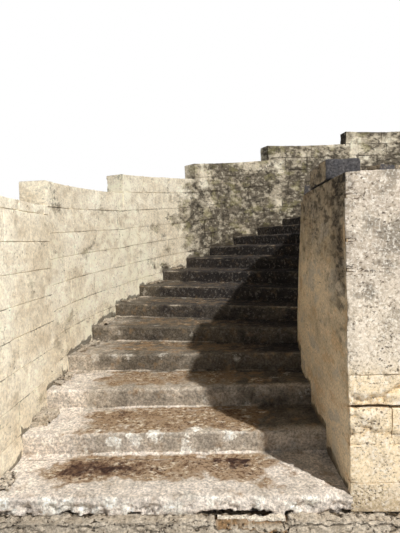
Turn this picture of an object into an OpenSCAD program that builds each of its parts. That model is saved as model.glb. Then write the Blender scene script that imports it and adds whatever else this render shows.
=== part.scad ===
// Outdoor stone steps that start straight and wind to the right between two
// retaining walls of squared limestone blocks.
// The origin is on the ground, at the foot of the first riser and midway between
// the walls. +Y is the way up the straight part, +X is towards the inner wall.
// Distances along the stair are measured on its middle line, from the first nosing.

/* [Steps] */
// Number of steps
step_count = 17; // [12:1:18]
// Height of each riser above the first
rise = 150; // [120:5:175]
// Height of the first riser, from the footing to the first tread
first_rise = 100; // [60:5:180]
// Distance from one nosing to the next, on the middle line
tread_d = 430; // [400:5:450]
// How much further the first nosing stands out, which gives the first tread more depth
first_tread_more = 45; // [0:5:80]
// Radius of each rounded nosing
nosing_r = 24; // [6:1:45]
// Depth of the strip on which a step carries the next one
bearing_d = 80; // [40:5:120]

/* [Mortar] */
// Height of the mortar fillet at the foot of each riser
fillet_h = 30; // [12:1:45]
// Depth of that fillet on the tread
fillet_d = 55; // [20:1:90]
// Share of the fillet's height and depth at which its face is hollowed
fillet_hollow = 0.38; // [0.3:0.01:0.5]

/* [Plan] */
// Clear width between the walls
stair_w = 2040; // [1400:20:2400]
// Length of the straight part
straight_run = 1145; // [700:5:1800]
// Radius of the inner wall's face round the bend
inner_r = 2690; // [2300:10:4000]

/* [Walls] */
// Thickness of the walls beside the stair
wall_t = 250; // [180:10:400]
// Thickness of the front wall
front_t = 355; // [200:5:400]
// Height of the front wall above the ground
front_h = 1975; // [1500:5:2300]
// Length of the front wall, from the stair to its far end
front_len = 1500; // [600:10:3000]
// Length of the block that ends the inner wall's top
end_block_len = 450; // [250:10:700]
// Height of that block
end_block_h = 135; // [60:5:250]
// How far that block stops short of the wall's garden side
end_block_in = 30; // [0:5:60]
// Length of one tier of the walls, on the middle line
tier_len = 1285; // [900:5:1600]
// Outer wall's height above the line of nosings where each tier starts
outer_over = [1585, 1435, 1340, 1350, 1225]; // [600:5:2000]
// How far each tier of the outer wall climbs along its length
outer_climb = [75, 130, 205, 100, -35]; // [-50:5:300]
// Inner wall's height above the last tread, at the upper end
inner_over = 140; // [0:5:400]

/* [Footing] */
// Height of the rubble footing course
footing_h = 110; // [60:5:200]
// How far the footing stands out in front of the first riser
footing_out = 80; // [20:5:150]

/* [Hidden] */
// Cutting tools reach this far past what they cut
past = 100;
// Steps carried by each bay of the rubble core
bay_steps = 3;
$fn = 256;

stair_len = nosing_at(step_count + 1);
mid_r = inner_r + stair_w / 2;
bend_len = stair_len - straight_run;
tier_count = ceil(bend_len / tier_len);
bay_count = ceil(step_count / bay_steps);
inner_face = stair_w / 2;
outer_face = -stair_w / 2;
inner_tier_up = (tread_z(step_count) + inner_over - front_h) / max(tier_count - 1, 1);

// Place of a nosing on the middle line, and the level of its tread
function nosing_at(n) = n == 1 ? 0 : first_tread_more + (n - 1) * tread_d;
function tread_z(n) = n < 1 ? footing_h : footing_h + first_rise + (n - 1) * rise;
// Level of the line that joins the nosings from the second one up
function nosing_line_z(s) = tread_z(1) + (s - first_tread_more) / tread_d * rise;
// Angle turned at a place on the middle line
function turn(s) = (s - straight_run) / mid_r * 180 / PI;
// Start and end of a tier, counted from 1
function tier_start(k) = straight_run + (k - 1) * tier_len;
function tier_end(k) = k == tier_count ? stair_len : tier_start(k + 1);
// Value of the kth tier in a list, which stays at its last value past the end
function of_tier(list, k) = list[min(k, len(list)) - 1];

function two_digits(n) = str(n < 10 ? "0" : "", n);
function step_name(n) = str("step_", two_digits(n));
function core_name(b) = str("rubble_core_", b);
function outer_name(k) = str("outer_wall_tier_", k);
function inner_name(k) = str("inner_wall_tier_", k);

// Puts its children at a place on the middle line, with +Y along the stair there
module at_place(s) {
    if (s <= straight_run)
        translate([0, s, 0]) children();
    else
        translate([mid_r, straight_run, 0])
            rotate([0, 0, -turn(s)])
                translate([-mid_r, 0, 0])
                    children();
}

// A bar that follows the stair from s0 to s1. It is w wide, from x0 across the
// middle line, and lies between the levels z0 and z1.
module along_stair(s0, s1, x0, w, z0, z1) {
    translate([0, 0, z0])
        if (s1 <= straight_run)
            translate([x0, s0, 0]) cube([w, s1 - s0, z1 - z0]);
        else if (s0 >= straight_run)
            round_bend(s0, s1, x0, w, z1 - z0);
        else
            into_bend(s0, s1, x0, w, z1 - z0);
}

// The part of such a bar that lies wholly in the bend
module round_bend(s0, s1, x0, w, h) {
    translate([mid_r, straight_run, 0])
        rotate([0, 0, 180 - turn(s1)])
            rotate_extrude(angle = turn(s1) - turn(s0))
                translate([mid_r - x0 - w, 0])
                    square([w, h]);
}

// A bar that starts straight and runs on into the bend, as one piece: what lies
// inside its outer edge, less what lies inside its inner edge and beyond its end
module into_bend(s0, s1, x0, w, h) {
    difference() {
        intersection() {
            translate([x0, s0, 0]) cube([mid_r - x0, 2 * (s1 - s0), h]);
            inside_edge(s0, x0, 0, h);
        }
        inside_edge(s0 - past, x0 + w, past, h);
        at_place(s1)
            translate([x0 - past, 0, -past])
                cube([mid_r - x0 + past, 2 * (s1 - s0), h + 2 * past]);
    }
}

// All that lies on the inner side of a line x0 from the middle line
module inside_edge(s0, x0, more, h) {
    translate([x0, s0, -more])
        cube([mid_r - x0 + more, straight_run - s0, h + 2 * more]);
    translate([mid_r, straight_run, -more])
        cylinder(r = mid_r - x0, h = h + 2 * more);
}

// A wall that stands on the ground from s0 to s1, with a top that climbs from h0 to h1
module raked_wall(s0, s1, x0, h0, h1) {
    middle_x = x0 + wall_t / 2;
    chord = 2 * (mid_r - middle_x) * sin((turn(s1) - turn(s0)) / 2);
    reach = chord + 2 * wall_t + 2 * past;
    difference() {
        along_stair(s0, s1, x0, wall_t, 0, max(h0, h1) + past);
        at_place((s0 + s1) / 2)
            translate([middle_x, 0, (h0 + h1) / 2])
                rotate([atan((h1 - h0) / chord), 0, 0])
                    translate([-reach / 2, -reach / 2, 0])
                        cube([reach, reach, 3 * past + abs(h1 - h0)]);
    }
}

// A bar that lies across the stair at a place on the middle line and is wider than
// the stair. Its section is drawn with +X along the stair and +Y up, from the level z.
module across_stair(s, z) {
    at_place(s)
        translate([outer_face - past, 0, z])
            rotate([90, 0, 90])
                linear_extrude(stair_w + 2 * past)
                    children();
}

// Section of a step, from the foot of its riser: square but for the rounded nosing
module step_section(depth, height) {
    square([depth, height - nosing_r]);
    translate([nosing_r, 0]) square([depth - nosing_r, height]);
    translate([nosing_r, height - nosing_r]) circle(nosing_r);
}

// One step: a block as thick as its riser, which runs back under the next riser
module step(n) {
    back = n == step_count ? stair_len : nosing_at(n + 1) + bearing_d;
    color("darkkhaki")
        intersection() {
            along_stair(nosing_at(n) - past, back, outer_face, stair_w,
                tread_z(n - 1) - past, tread_z(n) + past);
            across_stair(nosing_at(n), tread_z(n - 1))
                step_section(2 * tread_d + bearing_d, tread_z(n) - tread_z(n - 1));
        }
}

// One bay of the rubble that carries the steps, with a stepped top
module rubble_core(b) {
    first = (b - 1) * bay_steps + 1;
    last = min(b * bay_steps, step_count);
    back = last == step_count ? stair_len : nosing_at(last + 1) + bearing_d;
    color("tan")
        for (n = [first:last]) {
            front = n == 1 ? front_t : nosing_at(n) + bearing_d;
            along_stair(front, back, outer_face, stair_w, 0, tread_z(n - 1));
        }
}

// Mortar fillets, one along the foot of each riser above the first
module riser_fillets() {
    hollow = [-fillet_hollow * fillet_d, fillet_hollow * fillet_h];
    color("wheat")
        for (n = [2:step_count])
            intersection() {
                along_stair(nosing_at(n) - 2 * fillet_d, nosing_at(n) + past, outer_face, stair_w,
                    tread_z(n - 1) - past, tread_z(n) + past);
                across_stair(nosing_at(n), tread_z(n - 1))
                    polygon([[0, 0], [0, fillet_h], hollow, [-fillet_d, 0]]);
            }
}

// Footing course under the first step and the front wall
module footing() {
    color("rosybrown")
        translate([outer_face - wall_t, -footing_out, 0])
            cube([wall_t + stair_w + front_len, footing_out + front_t, footing_h]);
}

// Retaining wall that runs to the right from the foot of the stair
module front_wall() {
    color("khaki")
        translate([inner_face, 0, footing_h])
            cube([front_len, front_t, front_h - footing_h]);
}

// Outer wall beside the straight part, seated on the footing at its front end
module outer_wall_straight() {
    color("khaki")
        difference() {
            along_stair(0, straight_run, outer_face - wall_t, wall_t, 0, front_h);
            translate([outer_face - wall_t - past, -past, -past])
                cube([wall_t + 2 * past, past + front_t, past + footing_h]);
        }
}

// Inner wall from the front wall to the start of the bend
module inner_wall_straight() {
    color("khaki")
        along_stair(front_t, straight_run, inner_face, wall_t, 0, front_h);
}

// Block on top of the inner wall's front end, flush with the wall's face beside the stair
module inner_wall_end_block() {
    color("darkgray")
        along_stair(front_t, front_t + end_block_len, inner_face, wall_t - end_block_in,
            front_h, front_h + end_block_h);
}

// One tier of the outer wall round the bend
module outer_wall_tier(k) {
    h0 = nosing_line_z(tier_start(k)) + of_tier(outer_over, k);
    color("khaki")
        raked_wall(tier_start(k), tier_end(k), outer_face - wall_t,
            h0, h0 + of_tier(outer_climb, k));
}

// One tier of the inner wall round the bend
module inner_wall_tier(k) {
    color("khaki")
        along_stair(tier_start(k), tier_end(k), inner_face, wall_t, 0,
            front_h + (k - 1) * inner_tier_up);
}

footing();
riser_fillets();
front_wall();
outer_wall_straight();
inner_wall_straight();
inner_wall_end_block();
for (n = [1:step_count])
    step(n);
for (b = [1:bay_count])
    rubble_core(b);
for (k = [1:tier_count])
    outer_wall_tier(k);
for (k = [1:tier_count])
    inner_wall_tier(k);
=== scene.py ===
# Looks of the outdoor stone steps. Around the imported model, the steps, the walls' blocks and
# the stones of the upper end are built as worn solids, with procedural stone and mortar.
import math
from collections import namedtuple
from itertools import pairwise

import bpy
import numpy as np
from mathutils import Matrix, Vector


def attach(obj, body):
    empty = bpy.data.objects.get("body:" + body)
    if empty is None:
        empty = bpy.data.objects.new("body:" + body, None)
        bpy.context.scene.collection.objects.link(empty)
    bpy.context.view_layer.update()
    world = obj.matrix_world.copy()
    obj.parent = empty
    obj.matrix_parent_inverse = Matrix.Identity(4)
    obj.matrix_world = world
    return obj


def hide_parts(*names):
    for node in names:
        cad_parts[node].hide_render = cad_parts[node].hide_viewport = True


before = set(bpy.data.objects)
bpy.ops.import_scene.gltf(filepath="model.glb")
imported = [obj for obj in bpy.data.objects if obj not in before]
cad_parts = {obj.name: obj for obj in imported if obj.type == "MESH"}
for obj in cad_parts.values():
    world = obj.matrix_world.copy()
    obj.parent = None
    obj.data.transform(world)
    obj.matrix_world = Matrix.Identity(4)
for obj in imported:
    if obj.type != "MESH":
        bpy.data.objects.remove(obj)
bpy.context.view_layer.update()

# Sizes of the stair, in metres, as in the part's source
STEPS = 17
TREAD_D = 0.43
FIRST_MORE = 0.045
RISE = 0.15
FOOTING_H = 0.11
FOOTING_OUT = 0.08
FIRST_TREAD = 0.21
NOSING_R = 0.024
BEARING = 0.08
FILLET_D = 0.055
HALF_W = 1.02
RUN = 1.145
MID_R = 3.71
OUTER_R = MID_R + HALF_W
STAIR_LEN = STEPS * TREAD_D + FIRST_MORE
WALL_T = 0.25
FRONT_T = 0.355
FRONT_H = 1.975
FRONT_LEN = 1.5
END_BLOCK = (0.45, 0.22, 0.135)
TIERS = 5
TIER_STARTS = [RUN + k * 1.285 for k in range(TIERS)] + [STAIR_LEN]
OUTER_OVER = [1.585, 1.435, 1.340, 1.350, 1.225]
OUTER_CLIMB = [0.075, 0.130, 0.205, 0.100, -0.035]
INNER_OVER = 0.14

# Masonry of the walls
COURSE_H = 0.218
COPING_BED = 1.892
FRONT_BEDS = [0.11, 0.273, 0.486, 0.697, 0.878, 1.07, 1.26, 1.45, 1.61, 1.843, 1.975]
OPEN_BED = 0.697


def place(x, s, z):
    """World points of stair coordinates: x across, s along the middle line, z up."""
    angle = np.maximum(s - RUN, 0) / MID_R
    radius = MID_R - x
    return np.stack([MID_R - radius * np.cos(angle),
                     np.minimum(s, RUN) + radius * np.sin(angle), z + 0 * angle], -1)


def turned(vectors, s):
    """Vectors in stair axes at places s, as vectors in world axes."""
    angle = np.maximum(s - RUN, 0) / MID_R
    across, along, up = vectors.T
    return np.stack([across * np.cos(angle) + along * np.sin(angle),
                     along * np.cos(angle) - across * np.sin(angle), up], -1)


def nosing(n):
    """Place of the nth nosing on the middle line."""
    return (n - 1) * TREAD_D + FIRST_MORE * (n > 1)


def tread_z(n):
    """Level of the nth tread."""
    return FIRST_TREAD + (n - 1) * RISE if n else FOOTING_H


def above_nosings(s, z):
    """Height above the line of the nosings, from the second one up."""
    return z - FIRST_TREAD - (s - FIRST_MORE) / TREAD_D * RISE


def wall_node(side, k):
    """Name of a wall's tier k, where tier 0 is the straight part."""
    return f"{side}_wall_" + (f"tier_{k}" if k else "straight")


def stretch(k, first):
    """Start and end of a wall's tier k on the middle line. The straight part starts at first."""
    return TIER_STARTS[k - 1:k + 1] if k else (first, RUN)


# Noise, with the same values in each run
CORNERS = np.array([[i, j, k] for i in (0, 1) for j in (0, 1) for k in (0, 1)])
NEIGHBOURS = np.array([[i, j, k] for i in (-1, 0, 1) for j in (-1, 0, 1) for k in (-1, 0, 1)])
TWIST = np.array(Matrix.Rotation(0.9, 3, "X") @ Matrix.Rotation(0.7, 3, "Z"))
LAYER_FADE = 0.55
CLOUD_SPAN = 1.6


def random_at(cells, seed):
    """A fixed random number from 0 to 1 for each row of whole numbers."""
    mixed = np.full(len(cells), seed + 101, np.uint32)
    for column in cells.T:
        mixed = (mixed ^ column.astype(np.uint32)) * np.uint32(2654435761)
        mixed ^= mixed >> np.uint32(15)
        mixed = mixed * np.uint32(2246822519)
        mixed ^= mixed >> np.uint32(13)
    return mixed / 2.0**32


def noise(points, size, seed):
    """Smooth noise from -1 to 1, with lumps about size across."""
    grid = points / size
    cells = np.floor(grid).astype(np.int64)
    part = grid - cells
    part = part * part * (3 - 2 * part)
    total = np.zeros(len(points))
    for corner in CORNERS:
        share = np.where(corner, part, 1 - part)
        total += share[:, 0] * share[:, 1] * share[:, 2] * random_at(cells + corner, seed)
    return 2 * total - 1


def cloud(points, size, octaves, seed):
    """Layered noise, about -1 to 1, with lumps from the given size down."""
    total, strength, whole = 0.0, 1.0, 0.0
    for octave in range(octaves):
        total = total + strength * noise(points, size, seed * 16 + octave)
        whole += strength
        points = points @ TWIST
        size, strength = size / 2, strength * LAYER_FADE
    return CLOUD_SPAN * total / whole


def clouds(points, size, octaves, seed):
    """Three layered noises for each point, one for each axis."""
    return np.stack([cloud(points, size, octaves, seed + i) for i in range(3)], 1)


def scattered(points, size, seed):
    """Distance to the nearest and the next of points scattered about size apart, as shares
    of size, and a random number that belongs to the nearest."""
    grid = points / size
    cells = np.floor(grid).astype(np.int64)
    first, second, owner = np.full((3, len(points)), 9.0)
    for near in NEIGHBOURS:
        cell = cells + near
        spots = np.stack([random_at(cell, seed * 3 + i) for i in range(3)], 1) + cell
        away = np.sqrt(np.sum((spots - grid) ** 2, 1))
        closer = away < first
        second = np.where(closer, first, np.minimum(second, away))
        owner = np.where(closer, random_at(cell, seed * 3 + 3), owner)
        first = np.where(closer, away, first)
    return first, second, owner


def ease(value, low, high):
    """0 below low, 1 above high, and a smooth rise between."""
    t = np.clip((value - low) / (high - low), 0, 1)
    return t * t * (3 - 2 * t)


def hump(value, centre, width):
    """1 at the centre, falling smoothly to almost 0 a width and a half away."""
    return np.exp(-2 * ((value - centre) / width) ** 2)


def close_to(distance, reach):
    """1 where the distance is 0, falling smoothly to almost 0 twice the reach away."""
    return np.exp(-(distance / reach) ** 2)


# Meshes
MARKS = ("tone", "growth", "bloom", "cavity")
SHARP = 0.0005
LUMP_SIZE = 0.18
GRAIN_SIZE = 0.03
CHIP_SIZE = 0.07
CHIP_REACH = 0.02


def facing(points, quads):
    """Normals at the points, in which the larger faces count for more, so that a flat face
    is shaded flat right up to a small rounded edge."""
    total = np.zeros(points.shape)
    a, b, c, d = (points[quads[:, i]] for i in range(4))
    across = np.cross(c - a, d - b)
    for corner in quads.T:
        for axis in range(3):
            total[:, axis] += np.bincount(corner, across[:, axis], len(points))
    return total / np.maximum(np.linalg.norm(total, axis=1, keepdims=True), 1e-12)


class Heap:
    """Gathers solids into one piece. Each mark is a value at every point."""

    def __init__(self):
        self.points, self.quads, self.rings, self.count = [], [], [], 0
        self.marks = {mark: [] for mark in MARKS}

    def add(self, points, faces, **marks):
        """Adds a solid. Each entry of faces is an array of quads, or one ring of points."""
        self.points.append(points)
        self.quads += [face + self.count for face in faces if face.ndim == 2]
        self.rings += [(face + self.count).tolist() for face in faces if face.ndim == 1]
        for mark in MARKS:
            self.marks[mark].append(np.broadcast_to(marks.get(mark, 0.0), len(points)))
        self.count += len(points)

    def piece(self, name, material, slot, *nodes):
        """The heap as one object that rides on the part, and stands for CAD nodes if any."""
        mesh = bpy.data.meshes.new(name)
        points, quads = np.concatenate(self.points), np.concatenate(self.quads)
        mesh.from_pydata(points.tolist(), [], quads.tolist() + self.rings)
        mesh.normals_split_custom_set_from_vertices(facing(points, quads).tolist())
        for mark, values in self.marks.items():
            attribute = mesh.attributes.new(mark, "FLOAT", "POINT")
            attribute.data.foreach_set("value", np.concatenate(values).astype(np.float32))
        mesh.materials.append(material)
        mesh.update()
        made = bpy.data.objects.new(name, mesh)
        bpy.context.scene.collection.objects.link(made)
        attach(made, "root")
        if nodes:
            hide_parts(*nodes)


def axis_lines(length, gap, radii, arcs, extras):
    """Lattice lines from 0 to length: close round both edges, else about gap apart."""
    shares = 1 - np.tan(np.linspace(math.pi / 4, 0, arcs + 1))
    first, last = radii[0] * shares, length - radii[1] * shares[::-1]
    middle = np.linspace(first[-1], last[0], max(1, round((last[0] - first[-1]) / gap)) + 1)
    for extra in extras:
        if first[-1] < extra < last[0]:
            ends = (middle == middle[0]) | (middle == middle[-1])
            middle = middle[(abs(middle - extra) > gap / 4) | ends]
            middle = np.sort(np.append(middle, extra))
    return np.concatenate([first[:-1], middle, last[1:]])


def lattice(lines):
    """Points over the surface of a box, on its lattice lines, and the quads between them."""
    shape = [len(line) for line in lines]
    on = np.zeros(shape, bool)
    for axis in range(3):
        side = [slice(None)] * 3
        for end in (0, -1):
            side[axis] = end
            on[tuple(side)] = True
    index = np.zeros(shape, int)
    index[on] = np.arange(on.sum())
    points = np.stack([line[i] for line, i in zip(lines, np.nonzero(on))], 1)
    sides = [index[0].T, index[-1], index[:, 0], index[:, -1].T, index[:, :, 0].T, index[:, :, -1]]
    corners = [(g[:-1, :-1], g[1:, :-1], g[1:, 1:], g[:-1, 1:]) for g in sides]
    return points, [np.stack(four, -1).reshape(-1, 4) for four in corners]


def rounded_box(size, gaps, radii, arcs, extras):
    """A box with rounded edges, from the origin. radii has a pair for each axis.
    Returns its points, outward normals, distance to the nearest edge, and quads."""
    lines = [axis_lines(*each) for each in zip(size, gaps, radii, (arcs,) * 3, extras)]
    points, quads = lattice(lines)
    size, radii = np.array(size), np.maximum(np.array(radii), SHARP)
    inner = np.clip(points, radii[:, 0], size - radii[:, 1])
    reach = np.where(points < size / 2, radii[:, 0], radii[:, 1])
    out = (points - inner) / reach
    out /= np.linalg.norm(out, axis=1, keepdims=True)
    normals = out / reach
    normals /= np.linalg.norm(normals, axis=1, keepdims=True)
    to_edge = np.sort(np.minimum(points, size - points), 1)[:, 1]
    return inner + out * reach, normals, to_edge, quads


def outwards(box, size, normals, axis, open_top):
    """Directions in which a block wears while it stays flush with its neighbours: along the
    axis of its two faces, and on an open top also upwards."""
    out = np.zeros(box.shape)
    out[:, axis] = 2 * box[:, axis] / size[axis] - 1
    out[:, 2] += open_top * ease(normals[:, 2], 0.5, 0.9)
    return out


# Points of a solid, the way out at each, their distance to the nearest edge, the faces
# between them, and their stair coordinates
Bar = namedtuple("Bar", "points out to_edge faces x s z")


def bar(x, s, z_low, z_high, gaps, radii, arcs=2, extras=((), (), ()), face=None, open_top=True):
    """A rounded box laid along the stair, from x[0] to x[1] and s[0] to s[1].
    z_low and z_high give its lower and upper level at each x and s. gaps and radii may be one
    number for all axes. face is the axis of its two faces, where its joints stay closed."""
    gaps = (gaps,) * 3 if np.isscalar(gaps) else gaps
    radii = ((radii, radii),) * 3 if np.isscalar(radii) else radii
    middle = (x[0] + x[1]) / 2, (s[0] + s[1]) / 2
    height = z_high(*middle) - z_low(*middle)
    size = x[1] - x[0], s[1] - s[0], height
    box, normals, to_edge, quads = rounded_box(size, gaps, radii, arcs, extras)
    out = normals if face is None else outwards(box, size, normals, face, open_top)
    across, along = x[0] + box[:, 0], s[0] + box[:, 1]
    low, high = z_low(across, along), z_high(across, along)
    up = low + (high - low) * box[:, 2] / height
    return Bar(place(across, along, up), turned(out, along), to_edge, quads, across, along, up)


def level(z):
    """A bed that lies level."""
    return lambda x, s: z + 0 * x


def sunk(solid, depth):
    """A solid's points, moved inwards by a depth at each."""
    return solid.points - solid.out * np.maximum(depth, 0)[:, None]


def lumps(points, lump, seed):
    """How deep a wavy surface lies at each point, from 0 to lump."""
    return lump * np.clip(0.5 + 0.5 * cloud(points, LUMP_SIZE, 2, seed), 0, 1)


def wear(solid, lump, grain, chips, seed):
    """How deep a stone is worn: lumps, grain, and chips along its edges, each a depth.
    Chips are also given alone, as a share."""
    fine = grain * ease(cloud(solid.points, GRAIN_SIZE, 2, seed + 1), -0.2, 0.9)
    broken = ease(cloud(solid.points, CHIP_SIZE, 3, seed + 2), 0.15, 0.75)
    broken = broken * close_to(solid.to_edge, CHIP_REACH)
    return lumps(solid.points, lump, seed) + fine + chips * broken, broken


def jittered(start, end, shortest, longest, seed):
    """Joints from start to end, at random but fixed lengths apart."""
    draw = np.random.default_rng(seed)
    joints = [start]
    while end - joints[-1] > 1.3 * longest:
        joints.append(joints[-1] + draw.uniform(shortest, longest))
    if end - joints[-1] > 1.5 * shortest:
        joints.append((joints[-1] + end) / 2)
    return joints + [end]


# Materials
def rgb(red, green, blue):
    """An sRGB colour, in 0 to 255, as Blender's linear one."""
    return (*[((v / 255 + 0.055) / 1.055) ** 2.4 for v in (red, green, blue)], 1)


class Value:
    """A node's output. Its sums and products are nodes too."""

    def __init__(self, graph, socket):
        self.graph, self.socket = graph, socket

    def __add__(self, other):
        return self.graph.node("Math", 0, {0: self, 1: other}, operation="ADD")

    def __mul__(self, other):
        return self.graph.node("Math", 0, {0: self, 1: other}, operation="MULTIPLY")


class Graph:
    """Adds nodes to a material or a world."""

    def __init__(self, owner):
        owner.use_nodes = True
        self.tree = owner.node_tree

    def node(self, kind, output, inputs, **settings):
        """Adds a node with those inputs and settings, and returns one of its outputs."""
        made = self.tree.nodes.new("ShaderNode" + kind)
        for name, value in settings.items():
            setattr(made, name, value)
        for name, value in inputs.items():
            if isinstance(value, Value):
                self.tree.links.new(value.socket, made.inputs[name])
            else:
                made.inputs[name].default_value = value
        return Value(self, made.outputs[output])

    def join(self, value, node, name):
        """Joins a value to an input of a node that is there from the start."""
        self.tree.links.new(value.socket, self.tree.nodes[node].inputs[name])

    def ranged(self, value, low, high, first, last, **settings):
        """first where the value is low, last where it is high, and in proportion between."""
        limits = {"From Min": low, "From Max": high, "To Min": first, "To Max": last}
        return self.node("MapRange", "Result", {"Value": value} | limits, **settings)

    def ease(self, value, low, high):
        """0 up to low and 1 from high on, and smooth between. It falls where low is the higher."""
        falls = low > high
        return self.ranged(value, min(low, high), max(low, high), float(falls), float(not falls),
                           interpolation_type="SMOOTHSTEP")

    def mix(self, share, first, second, **settings):
        """A mix of two colours."""
        return self.node("Mix", 2, {0: share, 6: first, 7: second}, data_type="RGBA", **settings)


class Surface(Graph):
    """A material, made up of layers of colour."""

    def __init__(self, name, roughness):
        self.material = bpy.data.materials.new(name)
        super().__init__(self.material)
        shader = self.tree.nodes["Principled BSDF"]
        shader.inputs["Roughness"].default_value = roughness
        shader.inputs["Specular IOR Level"].default_value = 0.25
        self.place = self.node("TexCoord", "Object", {})
        self.colour = None

    def mark(self, name):
        """A mark of the piece's points."""
        return self.node("Attribute", "Fac", {}, attribute_name=name)

    def along(self, axis):
        """Place along one axis."""
        return self.node("SeparateXYZ", axis, {"Vector": self.place})

    def stretched(self, x, y, z):
        """Places for a texture that is stretched so many times along each axis."""
        return self.node("Mapping", "Vector", {"Vector": self.place, "Scale": (1 / x, 1 / y, 1 / z)})

    def noise(self, size, detail=5.0, rough=0.6, at=None):
        """Noise from 0 to 1, with lumps about size across."""
        return self.node("TexNoise", 0, {"Vector": at or self.place, "Scale": 1 / size,
                                         "Detail": detail, "Roughness": rough})

    def frayed(self, value, amount, *noise):
        """A value with its outline broken up by noise."""
        return value + (self.noise(*noise) + -0.5) * amount

    def ragged(self, mark, size, amount, detail=6.0):
        """A mark with its outline broken up by noise of that size."""
        return self.frayed(self.mark(mark), amount, size, detail, 0.65)

    def spots(self, size):
        """Distance to scattered points, as a share of size."""
        return self.node("TexVoronoi", "Distance", {"Vector": self.place, "Scale": 1 / size})

    def base(self, share, first, second):
        """The ground colour, a mix of two."""
        self.colour = self.mix(share, rgb(*first), rgb(*second))

    def lay(self, share, strength, colour):
        """Lays a colour over what is there, by that share."""
        self.colour = self.mix(share * strength, self.colour, rgb(*colour))

    def over(self, value, low, high, strength, colour, within=None):
        """Lays a colour over what is there: none where the value is low, and all of it where
        the value is high and the share within is 1."""
        share = self.ease(value, low, high)
        self.lay(share * within if within else share, strength, colour)

    def shade(self, size, amount, detail=4.0):
        """Darkens and lightens the colour by up to that share. Returns the noise used."""
        grain = self.noise(size, detail, 0.75)
        factor = self.ranged(grain, 0.37, 0.63, 1 - amount, 1 + amount)
        self.colour = self.mix(1.0, self.colour, factor, blend_type="MULTIPLY", clamp_result=True)
        return grain

    def pits(self, size, colour, low, high, strength):
        """Small pits, thick where a wide noise is above high."""
        where = self.ease(self.noise(0.17, 5.0, 0.65), low, high)
        drawn = self.noise(size, 3.0, 0.6, self.stretched(1.3, 1.3, 1))
        pits = self.ease(drawn, 0.41, 0.36) * where
        self.lay(pits, strength, colour)
        return pits

    def finish(self, height, depth):
        """Joins the colour and a bump of that depth, in metres, to the shader."""
        bump = self.node("Bump", 0, {"Height": height, "Distance": depth, "Strength": 0.9})
        self.join(self.colour, "Principled BSDF", "Base Color")
        self.join(bump, "Principled BSDF", "Normal")
        return self.material


def step_material():
    """Cast stone of the steps: grey cream, with brown dead moss, pale lichen and dirt; its darkest tones are
    partly painted shade, and some pale edges painted light.
    """
    g = Surface("step_stone", 0.92)
    tone = g.ragged("tone", 0.16, 0.8, 9.0)
    g.base(g.ease(tone, 0.0, 0.45), (226, 213, 198), (180, 167, 149))
    # The darker colours come with a rising tone: grime, and partly painted shade.
    g.over(tone, 0.40, 0.80, 1.0, (98, 89, 76))
    g.over(tone, 0.78, 1.15, 0.92, (49, 45, 44))
    g.over(tone, 1.12, 1.35, 0.7, (34, 31, 30))
    fringe = g.noise(0.05, 6.0, 0.7)
    pale = g.ease(g.mark("bloom"), 0.15, 0.5)
    g.over(g.spots(0.13) + fringe * 1.3, 1.08, 0.99, 0.9, (242, 234, 219), pale)
    g.over(g.spots(0.24) + fringe * 1.1, 0.71, 0.66, 0.7, (190, 182, 168), g.ease(tone, 1.05, 0.75))
    g.shade(0.055, 0.22, 5.0)
    grain = g.shade(0.017, 0.38, 3.0)
    g.over(g.noise(0.032, 4.0, 0.7), 0.56, 0.61, 0.36, (150, 142, 132), g.ease(tone, 0.55, 0.9))
    moss = g.ragged("growth", 0.090, 1.4, 10.0)
    film = g.noise(0.030, 5.0, 0.72)
    grown = g.ease(moss, 0.16, 0.42)
    faded = g.ease(tone, 1.15, 0.80) * 0.55 + 0.30
    g.over(moss, 0.04, 0.38, faded, (160, 130, 95))
    g.over(film, 0.50, 0.42, faded, (90, 61, 41), grown)
    crumb = g.noise(0.026, 5.0, 0.72, g.stretched(1.5, 1, 1))
    g.over(crumb, 0.53, 0.575, 0.9, (228, 213, 188), grown * g.ease(g.noise(0.16), 0.42, 0.56))
    g.over(moss + film * 1.5, 1.34, 1.56, 0.88, (76, 48, 36))
    g.over(moss + film * 1.9, 1.72, 1.98, 0.85, (46, 29, 24))
    # Dark where dirty, and painted shade in the open joint at the first step's foot.
    g.over(g.ragged("cavity", 0.03, 1.2), 0.35, 0.65, 0.85, (52, 44, 36))
    return g.finish(grain * 0.8 + grown * film * 1.5, 0.007)


def mortar_material():
    """Sandy lime mortar."""
    g = Surface("mortar", 0.95)
    g.base(g.noise(0.12), (216, 201, 174), (186, 170, 142))
    g.lay(g.mark("tone"), 1.0, (78, 70, 60))
    grain = g.shade(0.014, 0.35)
    g.lay(g.ragged("cavity", 0.04, 1.0), 0.7, (88, 74, 58))
    return g.finish(grain, 0.005)


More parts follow.
